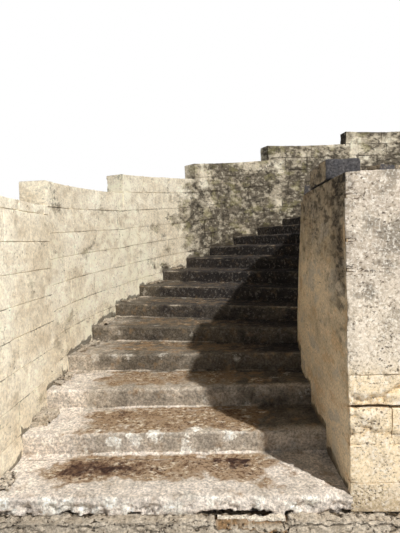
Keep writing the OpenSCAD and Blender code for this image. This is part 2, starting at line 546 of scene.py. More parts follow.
def render_colour(g):
    """Ochre render of the stair's side of the inner wall, stained black from the top down."""
    up = g.along("Z")
    drawn = g.stretched(1.3, 2.2, 1)
    g.base(g.ease(g.noise(0.30, 5.0, 0.6, drawn), 0.40, 0.60), (228, 206, 172), (202, 182, 150))
    mottle = g.noise(0.14, 8.0, 0.68, drawn)
    g.over(mottle, 0.52, 0.60, 0.45, (200, 160, 112))
    g.over(mottle, 0.47, 0.38, 0.6, (186, 177, 162))
    stained = g.noise(0.22, 7.0, 0.66, g.stretched(1.3, 1.8, 1.2))
    strip = g.along("Y") + stained * 0.5
    high = g.ease(up + stained * 2.6, 2.50, 3.30)
    low_end = g.ease(up + g.noise(0.10, 5.0, 0.6, drawn) * 1.8, 2.00, 2.35)
    near_front = g.ease(strip, 0.60, 0.40) * g.ease(strip, 0.22, 0.34) * low_end
    specks = g.noise(0.045, 5.0, 0.75, drawn)
    g.lay(high, 0.65, (118, 104, 84))
    g.lay(near_front, 0.75, (88, 78, 64))
    g.over(specks, 0.50, 0.57, 0.75, (58, 51, 42), high)
    g.over(specks, 0.50, 0.58, 0.7, (44, 39, 34), near_front)
    g.over(specks, 0.48, 0.42, 0.45, (202, 184, 154), high)
    g.over(specks, 0.60, 0.66, 0.4, (120, 103, 80))
    grain = g.shade(0.015, 0.25)
    g.over(g.ragged("cavity", 0.03, 0.8), 0.30, 0.60, 0.8, (66, 56, 44))
    return grain


def front_material():
    """Shelly limestone of the front wall: cream at the foot, pinkish grey above with stains and painted leaf
    shadow. Its return, beside the stair, is rendered like the inner wall."""
    g = Surface("front_wall_stone", 0.9)
    up = g.along("Z")
    g.base(g.noise(0.30), (226, 211, 190), (210, 194, 171))
    g.over(up, 1.00, 0.82, 0.9, (240, 216, 176))
    g.over(up, 1.15, 1.60, 0.9, (184, 170, 153))
    g.lay(g.mark("tone"), 0.12, (214, 192, 158))
    g.over(g.noise(0.34, 6.0), 0.50, 0.60, 0.35, (204, 190, 168))
    g.over(g.noise(0.20, 6.0), 0.53, 0.62, 0.5, (228, 213, 191))
    # Grey patches on the upper front: partly stains, partly painted shadow of leaves.
    stain_and_leaf_shade = g.noise(0.24, 6.0, 0.6, g.stretched(1, 1, 0.8))
    g.over(stain_and_leaf_shade, 0.48, 0.58, 0.85, (126, 117, 103), g.ease(up, 1.00, 1.35))
    g.over(up + g.noise(0.12, 6.0) * 0.24, 0.42, 0.26, 0.55, (176, 154, 120))
    g.over(g.ragged("growth", 0.04, 1.4), 0.25, 0.60, 0.55, (216, 180, 126))
    crust = g.noise(0.050, 7.0, 0.7)
    g.over(crust, 0.47, 0.38, 0.5, (166, 151, 130), g.ease(up, 0.9, 1.2))
    g.over(crust, 0.55, 0.62, 0.5, (244, 234, 217))
    grain = g.noise(0.016, 4.0, 0.75)
    g.over(grain, 0.48, 0.38, 0.60, (150, 135, 113))
    g.over(grain, 0.52, 0.62, 0.60, (246, 237, 221))
    fine = g.pits(0.014, (100, 87, 70), 0.36, 0.56, 0.8)
    coarse = g.pits(0.026, (80, 68, 54), 0.49, 0.60, 0.8)
    # Dark in cracks, seams and the open bed: dirt, and in the cracks and the open bed also painted shade.
    g.over(g.ragged("cavity", 0.03, 0.8), 0.30, 0.60, 0.9, (72, 56, 40))
    bare = g.colour
    render_colour(g)
    share = g.ease(g.ragged("bloom", 0.02, 0.6), 0.35, 0.60)
    g.colour = g.mix(share, bare, g.colour)
    pits = (fine + coarse) * (share * -0.8 + 1.0)
    return g.finish(grain * 0.9 + pits * -0.9, 0.006)


def inner_material():
    """Render of the inner wall, and the dark grey blocks on it."""
    g = Surface("inner_wall_stone", 0.93)
    grain = render_colour(g)
    grey = g.ease(g.ragged("tone", 0.05, 1.0), 0.20, 0.60)
    g.lay(grey, 0.95, (70, 69, 71))
    g.over(grain, 0.50, 0.40, 0.7, (42, 40, 42), grey)
    g.over(grain, 0.54, 0.62, 0.5, (116, 114, 113), grey)
    g.over(g.ragged("bloom", 0.10, 1.4), 0.3, 0.7, 0.5, (212, 200, 178))
    return g.finish(grain, 0.005)


def outer_material():
    """Cream limestone of the outer wall, blotched with grey and yellow lichen; on the far tiers the grey is
    partly painted shade, and on the near ones the pale partly painted sunlight.
    """
    g = Surface("outer_wall_stone", 0.92)
    drawn = g.stretched(1.6, 1.6, 1)
    g.base(g.ease(g.noise(0.36, 5.0, 0.6, drawn), 0.38, 0.62), (252, 240, 215), (232, 217, 189))
    g.lay(g.mark("tone"), 0.12, (198, 180, 150))
    g.over(g.noise(0.16, 8.0, 0.68, drawn), 0.50, 0.60, 0.4, (196, 176, 146))
    g.shade(0.10, 0.10, 5.0)
    grain = g.shade(0.022, 0.20)
    cover = g.frayed(g.mark("growth"), 1.8, 0.42, 5.0, 0.62, drawn)
    blotch = g.frayed(cover, 1.7, 0.15, 10.0, 0.72, drawn)
    # Grey blotches where the growth mark is high: lichen, and on the far tiers also painted shade.
    g.over(blotch, 0.24, 0.46, 0.8, (166, 152, 128))
    g.over(blotch, 0.46, 0.70, 0.9, (102, 92, 77))
    specks = g.noise(0.055, 7.0, 0.72, drawn)
    grown = g.ease(cover, 0.18, 0.45)
    g.over(specks, 0.52, 0.58, 0.8, (58, 52, 43), grown)
    g.over(specks, 0.46, 0.40, 0.6, (224, 212, 185), grown)
    g.over(g.noise(0.18, 7.0, 0.65, drawn), 0.53, 0.61, 0.35, (156, 148, 96), grown)
    # Pale where the bloom mark is high: pale streaks and block ends, and on the near tiers painted sunlight.
    g.over(g.ragged("bloom", 0.10, 1.8, 8.0), 0.45, 0.75, 0.75, (251, 243, 214))
    pits = g.pits(0.018, (84, 74, 60), 0.50, 0.64, 0.7)
    g.over(g.ragged("cavity", 0.03, 0.8), 0.30, 0.60, 0.75, (62, 53, 42))
    return g.finish(grain * 0.8 + pits * -0.8, 0.007)


def rubble_material():
    """Rough field stones, each of its own shade."""
    g = Surface("rubble", 0.95)
    tone = g.mark("tone")
    g.base(tone, (216, 203, 183), (160, 144, 122))
    g.over(tone, 0.0, -0.3, 1.0, (233, 219, 198))
    g.over(tone, 0.9, 1.3, 0.9, (140, 108, 72))
    g.over(g.noise(0.05, 7.0, 0.7), 0.48, 0.62, 0.4, (140, 124, 102))
    grain = g.shade(0.016, 0.4)
    pits = g.pits(0.026, (66, 55, 43), 0.36, 0.50, 0.9)
    g.over(g.ragged("cavity", 0.03, 1.0), 0.35, 0.65, 0.9, (46, 38, 31))
    return g.finish(grain + pits * -0.6, 0.010)


STEP_STONE = step_material()
MORTAR = mortar_material()
FRONT_STONE = front_material()
INNER_STONE = inner_material()
OUTER_STONE = outer_material()
RUBBLE = rubble_material()

# Steps
SEAT = 0.012
INTO_WALL = 0.03
RISER_MESH_SHARE = 0.65
STEP_MESH = ((3, 0.0105), (8, 0.017), (STEPS, 0.026))
FILLET_MESH = ((5, 0.012), (STEPS, 0.030))
# Tone of each step, darker up the stair: partly grime, partly painted shade on the upper steps.
SHADE_AND_GRIME_BY_STEP = ([1, 2, 3, 4, 5, 7, 9, STEPS], [0.20, 0.34, 0.46, 0.73, 0.86, 1.10, 1.30, 1.30])
DARK_RISERS = ([1, 2, 3], [-0.15, 0.10, 0.06])
# How much darker each riser is on the right, by step: painted shade of the front and inner walls.
RIGHT_SHADE_BY_STEP = ([2, 3, 4], [0, 0.18, 0.06])
MOSS_BY_STEP = ([1, 2, 3, 4, 6, STEPS], [0.42, 0.46, 0.36, 0.22, 0.14, 0.10])
MOSS_FRONT = ([1, 2, 3, STEPS], [0.24, -0.10, 0.10, 0.30])
MOSS_CLUMPS = ((-0.56, 0.50, 0.45), (0.48, 0.28, 0.62))
CRACK_SPAN = (0.28, 0.66)
CRACK_DEPTH = 0.026
STEP_WAVE = 0.004
STEP_HOLLOW = 0.004
STEP_GRAIN = 0.0018
STEP_CHIPS = 0.012
ROUGH_RISER = 0.022
FILLET_WAVE = 0.002
FILLET_GRAIN = 0.003
FILLET_LOSS = 0.007
FILLET_FACE = [(-FILLET_D, 0.0), (-0.036, 0.002), (-0.021, 0.006), (-0.010, 0.010), (0.0, 0.015)]
NEAR_STEPS = 5

# Points of a swept solid, the way out at each, the faces between them, and each point's
# distance back from the nosing, its place across the stair and its height above the foot
Sweep = namedtuple("Sweep", "points out faces d x z")


def mesh_gap(n, mesh):
    """Distance between the lattice lines of the nth step."""
    return next(gap for last, gap in mesh if n <= last)


def step_section(height, depth, gap, ends_stair):
    """A step's outline and its outward normals, from the foot of the riser upwards,
    over the nosing, along the tread and down the back."""
    up = np.linspace(-SEAT, height - NOSING_R, round(height / (RISER_MESH_SHARE * gap)) + 1)
    turns = np.linspace(0, math.pi / 2, 7)[1:-1]
    over = [(NOSING_R * (1 - math.cos(t)), height - NOSING_R * (1 - math.sin(t))) for t in turns]
    back = np.linspace(NOSING_R, depth, round(depth / gap) + 1)
    down = np.linspace(height, -SEAT, round(height / gap) + 1 if ends_stair else 2)[1:]
    points = [(0, z) for z in up] + over + [(d, height) for d in back] + [(depth, z) for z in down]
    normals = ([(-1, 0)] * len(up) + [(-math.cos(t), math.sin(t)) for t in turns]
               + [(0, 1)] * len(back) + [(1, 0)] * len(down))
    return np.array(points), np.array(normals, float)


def swept(section, normals, gap, past, foot, place_of):
    """Sweeps a closed outline across the stair, a little past the walls' faces. place_of
    gives the place along the stair from the outline's distance d and from x."""
    columns = np.linspace(-HALF_W - past, HALF_W + past, round(2 * HALF_W / gap) + 1)
    rows, across = len(section), len(columns)
    d, z = np.repeat(section, across, 0).T
    x = np.tile(columns, rows)
    s = place_of(d, x)
    flat = np.repeat(normals, across, 0)
    out = turned(np.stack([0 * x, flat[:, 0], flat[:, 1]], 1), s)
    index = np.arange(rows * across).reshape(rows, across)
    following = np.roll(index, -1, 0)
    quads = np.stack([index[:, :-1], index[:, 1:], following[:, 1:], following[:, :-1]], -1)
    faces = [quads.reshape(-1, 4), index[:, 0], index[::-1, -1]]
    return Sweep(place(x, s, foot + z), out, faces, d, x, z)


def foot_crack(points):
    """The open joint at the foot of the first step, widest above the flat stone."""
    x, y, z = points.T
    start, end = CRACK_SPAN
    reach = 0.3 + 0.7 * ease(x, start, start + 0.04) * ease(end - x, 0, 0.10)
    gaps = cloud(points * (1, 0, 0), 0.13, 3, 16)
    high = 0.004 + 0.006 * cloud(points * (1, 0, 0), 0.05, 2, 17)
    low_part = 1 - ease(z - FOOTING_H, high, high + 0.006)
    return ease(gaps, 0.60 - reach, 0.90 - reach) * low_part * (1 - ease(y, 0.04, 0.06))


def step_marks(n, step, back, edge, riser):
    """Where the nth step is dark, mossy, pale or dirty; part of the dark is painted shade and part of the
    pale painted light. back is the share of its depth, edge the distance from its nosing, and riser 1 on its
    front."""
    points, x, tread = step.points, step.x, 1 - riser
    wide = cloud(points, 0.45, 3, 40)
    fine = cloud(points, 0.13, 4, 41)
    left, right = ease(-x, 0.45, 0.90), ease(x, -0.1, 0.8)
    tone = np.interp(n, *SHADE_AND_GRIME_BY_STEP) + np.interp(n, *DARK_RISERS) * riser
    # Lighter towards the left end: partly the stone's own paler colour, partly painted sunlight.
    tone += (0.07 if n == 1 else 0.11) * wide + 0.20 * (n == 1) * hump(edge, 0, 0.035) - 0.30 * left
    # Darker on the right, treads most: painted shadow of the front and inner walls.
    tone += right * (np.interp(n, *RIGHT_SHADE_BY_STEP) * riser + 0.42 * tread * ease(back, 0.0, 0.3) * (n > 1))
    front = np.interp(n, *MOSS_FRONT) + 0.20 * fine + 0.15 * wide
    band = ease(back, front, front + 0.30) * ease(0.95 + 0.05 * fine - back, 0, 0.12) * tread
    aside = x + 0.16 * fine + 0.10 * wide
    sides = ease(aside + 0.08 * (n == 1), -0.88, -0.55) * (1 - ease(aside, 0.45, 0.80))
    clumps = 0.5 * ease(back, 0.45, 0.80) * ease(cloud(points, 0.26, 4, 42), -0.2, 0.5)
    for centre, width, depth in MOSS_CLUMPS:
        patch = hump(aside, centre, width) * ease(back + 0.20 * fine, depth - 0.15, depth + 0.15)
        clumps = np.maximum(clumps, patch * (n == 1))
    moss = np.interp(n, *MOSS_BY_STEP) * (1 + 0.25 * wide) + 0.50 * clumps * (n < 3)
    # Worn nosings, lighter: real wear, and on the upper steps also a painted highlight along the edges.
    worn = hump(edge, 0, 0.030 if n > NEAR_STEPS else 0.020) * ease(fine, -0.4, 0.5) * (n > 1)
    lichen = 0.55 * (n == 2) * (riser + ease(0.18 - edge, 0, 0.08) * tread)
    lichen = lichen * ease(x, -0.65, -0.50) * ease(0.52 - x, 0, 0.1)
    pale = 0.14 + 0.16 * left + lichen + 0.20 * worn + 0.28 * (n == 1) * riser
    tone -= (0.66 if n > NEAR_STEPS else 0.16) * worn
    dirt = 0.50 * ease(back, 0.95, 1.0) * tread
    if n == 1:
        over_foot = points[:, 2] - FOOTING_H
        # Darker towards the first step's foot, and dark in its open joint: the joint's darkness is painted
        # shade, with dirt.
        dirt += riser * 0.38 * ease(0.07 + 0.05 * fine - over_foot, 0, 0.05) + foot_crack(points)
    return {"tone": np.clip(tone, 0, 1.3), "growth": moss * band * sides,
            "bloom": pale * np.interp(n, [1, 4, 8], [1.0, 0.8, 0.6]), "cavity": dirt}


def make_step(n):
    """The nth step, a worn block with a rounded nosing."""
    gap = mesh_gap(n, STEP_MESH)
    start, going = nosing(n), nosing(n + 1) - nosing(n)
    height, depth = tread_z(n) - tread_z(n - 1), going + (BEARING if n < STEPS else 0)

    def place_of(d, x):
        scale = MID_R / (MID_R - x) if start >= RUN else 1.0
        extra = np.interp(d, [0, NOSING_R, depth], [0, NOSING_R, 0])
        return start + d + extra * (scale - 1)

    section, normals = step_section(height, depth, gap, n == STEPS)
    step = swept(section, normals, gap, INTO_WALL, tread_z(n - 1), place_of)
    points, riser = step.points, 1 - ease(step.d, 0.0, NOSING_R)
    edge = np.hypot(step.d, height - step.z)
    cut = STEP_WAVE * (0.6 + cloud(points, 0.20, 3, 11)) + STEP_GRAIN * (1 + cloud(points, 0.025, 2, 12))
    cut += STEP_CHIPS * ease(cloud(points, 0.09, 3, 13), 0.30, 0.95) * close_to(edge, 0.03)
    cut += STEP_HOLLOW * ease(cloud(points, 0.5, 2, 14), -0.3, 0.8) * (1 - riser)
    if n == 1:
        ragged = ease(cloud(points, 0.05, 4, 15), -0.1, 0.7)
        cut += ROUGH_RISER * riser * ragged * ease(height - step.z, 0.02, 0.08)
        cut += CRACK_DEPTH * foot_crack(points)
    heap = Heap()
    marks = step_marks(n, step, np.clip(step.d / going, 0, 1), edge, riser)
    heap.add(sunk(step, cut), step.faces, **marks)
    heap.piece(f"step_{n:02d}_stone", STEP_STONE, "step_stone", f"step_{n:02d}")


def make_fillets():
    """Worn mortar fillets, one at the foot of each riser above the first."""
    section = np.array([(-FILLET_D, -SEAT)] + FILLET_FACE + [(SEAT, 0.018), (SEAT, -SEAT)])
    normals = np.array([(-0.7, -0.7)] + [(-0.5, 0.85)] * 4 + [(-0.7, 0.7), (0.0, 0.5), (0.0, -0.5)])
    heap = Heap()
    for n in range(2, STEPS + 1):
        start = nosing(n)

        def place_of(d, x):
            return start + d * (MID_R / (MID_R - x) if start >= RUN else 1.0)

        strip = swept(section, normals, mesh_gap(n, FILLET_MESH), SEAT, tread_z(n - 1), place_of)
        points, x = strip.points, strip.x
        cut = FILLET_WAVE * (0.8 + cloud(points, 0.12, 3, 21))
        cut += FILLET_GRAIN * (1 + cloud(points, 0.03, 2, 22))
        lost = ease(cloud(points, 0.20, 3, 25), -0.1, 0.5)
        # Fillets follow the steps' tone, which is partly painted shade.
        tone = np.interp(n, *SHADE_AND_GRIME_BY_STEP) - 0.04 + 0.2 * cloud(points, 0.3, 3, 23)
        # Darker on the right: painted shadow of the walls. Lighter at the left end: partly the mortar's own
        # colour, partly painted sunlight.
        tone += 0.30 * ease(x, -0.1, 0.8) * (n > 2) - 0.3 * ease(-x, 0.4, 0.9)
        toe = ease(-strip.d, 0.010, 0.030)
        tone += 0.10 * lost - 0.22 * (1 - toe) * (1 - lost)
        sides = ease(x, -0.78, -0.55) * (1 - ease(x, 0.50, 0.72))
        heap.add(sunk(strip, cut + FILLET_LOSS * lost), strip.faces, tone=np.clip(tone, 0, 1.2),
                 growth=np.interp(n - 1, *MOSS_BY_STEP) * toe * sides, bloom=0.15)
    heap.piece("riser_fillet_strips", STEP_STONE, "mortar", "riser_fillets")


# Front wall
FRONT_JOINTS = [[1.66, 2.14], [1.46, 1.90], [1.27, 1.72, 2.16], [1.62, 2.08], [1.48, 1.98], [1.74, 2.20]]
BED_GAPS = {0.273: 0.004, 0.486: 0.007, OPEN_BED: 0.018, 0.878: 0.005}
FAINT_GAP = -0.001
OPEN_BELOW = 1.1
FRONT_CRACKS = ((1.843, 1.12, 1.0), (1.61, 1.10, 0.8), (1.45, 1.14, 0.6))
CRACK_HOLE = (1.088, 1.840)
FRONT_MESH = 0.012
FRONT_MESH_FAR = 0.030
PHOTO_END = 1.35
RENDER_FROM = 0.05
RENDER_WAVE = 0.010
RETURN_EDGE = 0.014
ROT_BANDS = ((0.75, 0.60, 0.13), (1.0, 0.77, 0.10), (0.2, 0.40, 0.10))
DEEPEST_ROT = 0.030
ARRIS_REACH = 0.035
FLARE = 0.006
FLARE_TOP = 1.3
FLARE_RUN = 0.65
FRONT_GRAIN = 0.003
FRONT_LUMP = 0.003
FRONT_CRACK_DEPTH = 0.010


def render_depth(points):
    """How deep the render's wavy face lies, from 0 to about RENDER_WAVE."""
    wave = RENDER_WAVE * np.clip(0.5 + 0.5 * cloud(points, 0.32, 3, 53), 0, 1)
    return wave + 0.0015 * (1 + cloud(points, 0.04, 2, 54))


def beside_stair(x, y, reach=RETURN_EDGE, soft=0.010):
    """1 on the front wall's return, beside the stair, and 0 on its other faces."""
    return ease(HALF_W + reach - x, 0, soft) * ease(y, 0.001, RETURN_EDGE)


def to_right(points, amount):
    """The points, moved along x by an amount at each."""
    return points + amount[:, None] * (1, 0, 0)


def set_back(points, behind):
    """The front wall's points, moved away from the stair to the render's wavy face, and by
    some more where they lie behind it."""
    render = render_depth(points * (0, 1, 1) + (HALF_W, 0, 0)) + behind
    share = beside_stair(points[:, 0], points[:, 1], 0.06, 0.05)
    return to_right(points, render * share + arris_wear(points))


def flared(points):
    """The points at the stair's foot, with the face beside it set back to the front and foot."""
    x, y, z = points.T
    back = FLARE * (1 + ease(FLARE_TOP - z, 0, 1.0)) * (1 - ease(y, 0, FLARE_RUN))
    return to_right(points, back * np.clip((HALF_W + WALL_T - x) / WALL_T, 0, 1))


def rot_band(z):
    """How far the front wall's courses have rotted at each level: most beside the open bed."""
    return np.clip(sum(share * hump(z, middle, width) for share, middle, width in ROT_BANDS), 0, 1)


def rot_depth(points):
    """How deep the front wall's stone has rotted, in hollows drawn out along its beds."""
    hollow = ease(cloud(points * (1, 1, 1.9), 0.11, 5, 31), -0.15, 0.50)
    return DEEPEST_ROT * hollow * rot_band(points[:, 2])


def arris_wear(points):
    """How deep the front wall's corner beside the stair is worn away."""
    x, y, z = points.T
    bites = ease(cloud(points, 0.10, 3, 33), -0.2, 0.9)
    return close_to(np.hypot(x - HALF_W, y), ARRIS_REACH) * (0.003 + (0.008 + 0.016 * rot_band(z)) * bites)


def front_cracks(points):
    """Fine cracks that start from the corner beside the stair, along some of the beds."""
    x, z = points[:, 0], points[:, 2]
    wavy = z + 0.002 * cloud(points * (1, 0, 0), 0.08, 2, 35)
    hole = hump(np.hypot(x - CRACK_HOLE[0], 1.5 * (z - CRACK_HOLE[1])), 0, 0.022)
    return hole + sum(strength * hump(wavy, bed, 0.015) * ease(reach - x, 0, 0.05)
                      for bed, reach, strength in FRONT_CRACKS)


def front_block(heap, course, i, a, b):
    """Block i in a course of the front wall, from x = a to x = b. Its neighbours overlap it
    where the joint is faint, and the rot and the open joints are in the lower courses."""
    bed, top = FRONT_BEDS[course:course + 2]
    corner, highest, last = i == 0, top == FRONT_H, b == HALF_W + FRONT_LEN
    low = bed + BED_GAPS.get(bed, FAINT_GAP) / 2 * (course > 0)
    high = top - BED_GAPS.get(top, FAINT_GAP) / 2 * (not highest)
    old = rot_band((bed + top) / 2)
    open_joint = 0.0015 + 0.003 * old if top < OPEN_BELOW else FAINT_GAP / 2
    start = a if corner or top < OPEN_BELOW else a + FAINT_GAP / 2
    radius = 0.0025 + 0.006 * old
    radii = ((0.008 if corner else SHARP, SHARP + 0.006 * old),
             (radius, SHARP if corner else radius), (radius, 0.006 if highest else radius))
    gap = FRONT_MESH if a < PHOTO_END else FRONT_MESH_FAR
    gaps = gap, max(gap, 0.022) if corner or highest else 0.10, gap
    block = bar((start, b if last else b - open_joint), (0, FRONT_T), level(low), level(high),
                gaps, radii, face=1, open_top=highest)
    points = block.points
    shade = np.random.default_rng(60 + 7 * course + i).uniform(0, 1)
    worn, chips = wear(block, FRONT_LUMP, FRONT_GRAIN, 0.002 + 0.016 * old + 0.008 * highest, 30)
    side = corner * beside_stair(block.x, block.s)
    rot = rot_depth(points) * (0.2 + 0.8 * np.clip(-block.out[:, 1], 0, 1))
    crack = front_cracks(points)
    moved = sunk(block, (worn + rot + FRONT_CRACK_DEPTH * crack) * (1 - side) + arris_wear(points))
    if corner:
        moved = set_back(moved, 0.010 * ease(points[:, 1], RENDER_FROM - 0.01, RENDER_FROM + 0.03))
    to_bed = np.minimum(block.z - low, high - block.z)
    seam = 0.9 * (top < 1.0) * hump(to_bed, 0, 0.006) * ease(cloud(points, 0.2, 3, 34), 0.1, 0.6)
    # Cracks are painted dark: partly dirt, partly painted shade in the groove.
    heap.add(flared(moved), block.faces, tone=shade, bloom=side,
             growth=np.clip(ease(rot, 0.004, 0.026) + 0.25 * chips, 0, 1) * (1 - side),
             cavity=np.clip(2.0 * crack + seam, 0, 1) * (1 - side))


def make_front_wall():
    """The front wall: courses of large blocks with full corner stones, and the mortar that
    shows in their open joints."""
    blocks = Heap()
    for course in range(len(FRONT_BEDS) - 1):
        joints = [HALF_W, *FRONT_JOINTS[course % len(FRONT_JOINTS)], HALF_W + FRONT_LEN]
        for i, (a, b) in enumerate(pairwise(joints)):
            front_block(blocks, course, i, a, b)
    blocks.piece("front_wall_blocks", FRONT_STONE, "front_wall_stone", "front_wall")

    mortar = Heap()
    inset, deep = FRONT_GRAIN + 0.002, 0.04
    for bed, top, into in ((FOOTING_H, OPEN_BED - 0.012, inset), (OPEN_BED - 0.020, OPEN_BED + 0.020, deep),
                           (OPEN_BED + 0.012, FRONT_H - 0.018, inset)):
        fill = bar((HALF_W, HALF_W + FRONT_LEN - 0.006), (into, FRONT_T - 0.012), level(bed), level(top),
                   (0.03, 0.08, 0.025), ((0.012, 0.002), (0.002, SHARP), (0.002, 0.002)), 1, face=1)
        points = fill.points
        side = ease(HALF_W + RETURN_EDGE - fill.x, 0, 0.010)
        front = lumps(points, FRONT_LUMP, 30) + DEEPEST_ROT * rot_band(points[:, 2]) * (into < deep)
        moved = sunk(fill, front * (1 - side) + 1.2 * arris_wear(points))
        moved = set_back(moved, 0.003 + 0.010 * ease(points[:, 1], 0.02, 0.05))
        # The deep mortar at the back of the open bed is painted dark: painted shade in the joint, with dirt.
        dark = 0.70 if into == deep else 0.10
        mortar.add(flared(moved), fill.faces, tone=0.8, bloom=side, cavity=dark * (1 - side))
    mortar.piece("front_wall_mortar", FRONT_STONE, "mortar", "front_wall")


# Inner wall
FAINT_BEDS = [1.775, 1.56, 1.33, 0.95]
INNER_COPING_H = 0.16
INNER_MESH = 0.020
INNER_MESH_FAR = 0.036
LEAN = 0.055
LEAN_HEIGHT = 1.4
LEAN_START = (0.85, 1.65)
COPING_LEN = (0.42, 0.60)
INNER_WEAR = (0.0, 0.003)
INNER_CHIPS = 0.012
COPING_WEAR = (0.003, 0.002, 0.010)


def inner_top(k):
    """Level of the top of the inner wall's tier k."""
    return FRONT_H + max(k - 1, 0) * (tread_z(STEPS) + INNER_OVER - FRONT_H) / (TIERS - 1)


def leant_back(points, solid):
    """The inner wall's points, moved away from the stair as its face leans back."""
    across = np.clip((HALF_W + WALL_T - solid.x) / WALL_T, 0, 1)
    lean = np.clip(above_nosings(solid.s, solid.z), 0, LEAN_HEIGHT) * ease(solid.s, *LEAN_START)
    move = (LEAN * lean * across)[:, None] * (1, 0, 0)
    return flared(points) + turned(move, solid.s)


def foot_dirt(solid, seed):
    """Dirt and damp where a wall stands on the treads."""
    n = np.clip(np.floor((solid.s - FIRST_MORE) / TREAD_D) + 1, 1, STEPS)
    over = solid.z - (FIRST_TREAD + (n - 1) * RISE)
    beside = (over > -0.05) & (abs(solid.x) < HALF_W + 0.05)
    return ease(0.06 + 0.05 * cloud(solid.points, 0.12, 3, seed) - over, 0, 0.05) * beside


def make_inner_body(k, node):
    """The rendered body of the inner wall's tier k, up to its top or the bed of its coping.
    The straight part's render runs on round the front wall's return."""
    start, end = stretch(k, RENDER_FROM)
    top = inner_top(k) if k < 2 else inner_top(k) - INNER_COPING_H - 0.002
    gap = INNER_MESH if k < 2 else INNER_MESH_FAR
    solid = bar((HALF_W, HALF_W + WALL_T), (start, end), level(0.0), level(top),
                (0.03 if k in (0, 1, TIERS) else 0.12, gap, gap),
                ((0.008, 0.006), (SHARP, 0.012 if k == TIERS else SHARP), (0.001, 0.010)),
                extras=((), (), FAINT_BEDS), face=0)
    points, s, z = solid.points, solid.s, solid.z
    upward = ease(solid.out[:, 2], 0.3, 0.9)
    crack = np.clip(sum(hump(z, bed, 0.008) for bed in FAINT_BEDS), 0, 1)
    crack = crack * ease(cloud(points, 0.25, 3, 52), 0.1, 0.5) * ease(s, 0.45, 0.60)
    depth, _ = wear(solid, *INNER_WEAR, INNER_CHIPS * (s > start + 0.03), 56)
    depth += 0.010 * (1 - ease(s, RENDER_FROM, RENDER_FROM + 0.04)) + arris_wear(points)
    depth += upward * (0.006 + 0.004 * (s < FRONT_T + 0.01))
    depth += render_depth(points) * (1 - upward) + 0.005 * crack
    pale = ease(HALF_W + 0.03 - solid.x, 0, 0.02) * hump(above_nosings(s, z), 0.15, 0.30)
    body = Heap()
    body.add(leant_back(sunk(solid, depth), solid), solid.faces, tone=0.6 * upward,
             bloom=pale * ease(cloud(points, 0.16, 3, 51), 0.0, 0.7),
             cavity=np.clip(0.6 * crack + 0.7 * foot_dirt(solid, 57), 0, 1))
    body.piece(f"{node}_render", INNER_STONE, "inner_wall_stone", node)


def coping_block(heap, x, s, z, radii, seed, gap=0.026, grey=0.45, lean=leant_back):
    """One grey block on top of the inner wall."""
    block = bar(x, s, level(z[0]), level(z[1]), gap, radii, 3)
    worn, chips = wear(block, *COPING_WEAR, 55)
    flank = ease(-block.out[:, 0], 0.6, 0.95)
    tone = grey * (1 - 0.9 * flank) + np.random.default_rng(seed).uniform(-0.1, 0.1)
    heap.add(lean(sunk(block, worn), block), block.faces, tone=tone, cavity=0.3 * chips)


def make_inner_coping(k, node):
    """The coping blocks of the inner wall's tier k."""
    joints = jittered(*stretch(k, FRONT_T), *COPING_LEN, 500 + k)
    top = inner_top(k)
    coping = Heap()
    for i, (a, b) in enumerate(pairwise(joints)):
        coping_block(coping, (HALF_W + 0.004, HALF_W + WALL_T - 0.002), (a + 0.002, b - 0.002),
                     (top - INNER_COPING_H, top), ((0.022, 0.014), (0.014, 0.014), (0.004, 0.020)),
                     510 + 9 * k + i)
    coping.piece(f"{node}_coping", INNER_STONE, "inner_wall_stone", node)


def make_inner_wall(k):
    """Tier k of the inner wall. From the second tier on it has a course of coping blocks."""
    node = wall_node("inner", k)
    make_inner_body(k, node)
    if k > 1:
        make_inner_coping(k, node)


def make_end_block():
    """The worn grey block on the front end of the inner wall."""
    length, width, height = END_BLOCK
    block = Heap()
    coping_block(block, (HALF_W, HALF_W + width), (FRONT_T, FRONT_T + length), (FRONT_H, FRONT_H + height),
                 ((0.020, 0.016), (0.012, 0.050), (0.002, 0.010)), 501, gap=0.018, grey=0.9,
                 lean=lambda points, solid: flared(points))
    block.piece("inner_wall_end_stone", INNER_STONE, "inner_wall_stone", "inner_wall_end_block")


# Outer wall
OUTER_GAP = 0.003
OUTER_SPREAD = 0.001
OUTER_LUMP = 0.012
OUTER_GRAIN = 0.003
OUTER_MESH = 0.024
OUTER_MESH_FAR = 0.034
HIDDEN_MESH = 0.055
OUTER_BLOCK_LEN = (0.37, 0.56)
OUTER_SHIFT = 0.21
SHORTEST_END = 0.07
# Where painted shade starts on the far tiers, and where painted sunlight ends on the near ones.
SHADED_FROM = (3.3, 3.9)
SUNNY_TO = (2.3, 3.2)
OUTER_FACE = -HALF_W
OUTER_BACK = -HALF_W - WALL_T


def outer_level(k, course):
    """The bed above a course of the outer wall's tier k, counted from its top. The beds of
    the tiers past the straight part climb as their tops do."""
    if k == 0:
        return level(FRONT_H if course == 0 else COPING_BED - (course - 1) * COURSE_H)
    start, end = stretch(k, 0.0)
    rise = OUTER_CLIMB[k - 1] / 2
    low = OUTER_OVER[k - 1] - above_nosings(start, 0)
    climb = rise / (OUTER_R + WALL_T / 2) / math.sin((end - start) / 2 / MID_R)

    def bed(x, s):
        around = np.sin((s - (start + end) / 2) / MID_R)
        return low + rise + climb * (MID_R - x) * around - course * COURSE_H
    return bed


